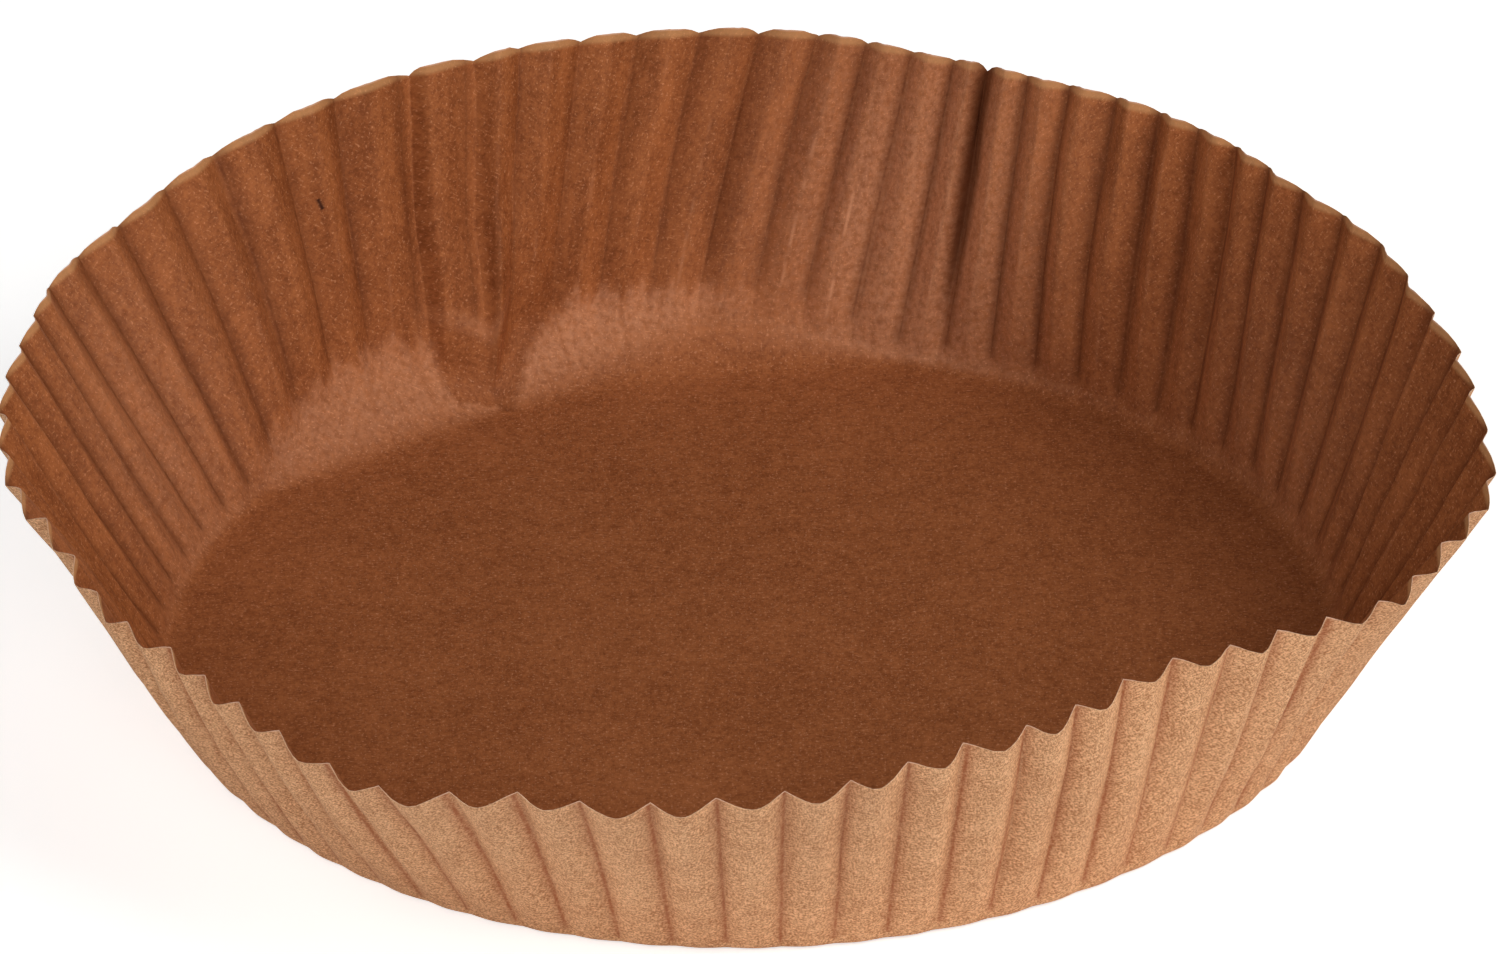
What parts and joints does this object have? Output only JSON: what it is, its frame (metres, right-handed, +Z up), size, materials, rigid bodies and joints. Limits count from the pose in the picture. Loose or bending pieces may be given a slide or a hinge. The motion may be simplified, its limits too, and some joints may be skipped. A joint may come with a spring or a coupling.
{
  "type": "air fryer liner",
  "caption": "Shallow round paper cup with a flat floor and a pleated, flaring wall, laid in an air fryer basket to keep it clean.",
  "frame": {"origin": "centre of the floor, on its underside", "axes": "+Z up out of the cup; -Y is the front, where the wall leans out furthest; +X to the right"},
  "size_m": [0.2012, 0.202, 0.0457],
  "materials": {
    "paper": "matt unbleached brown baking paper with a faint waxy sheen"
  },
  "bodies": {
    "root": {"liner": "paper"}
  },
  "joints": []
}
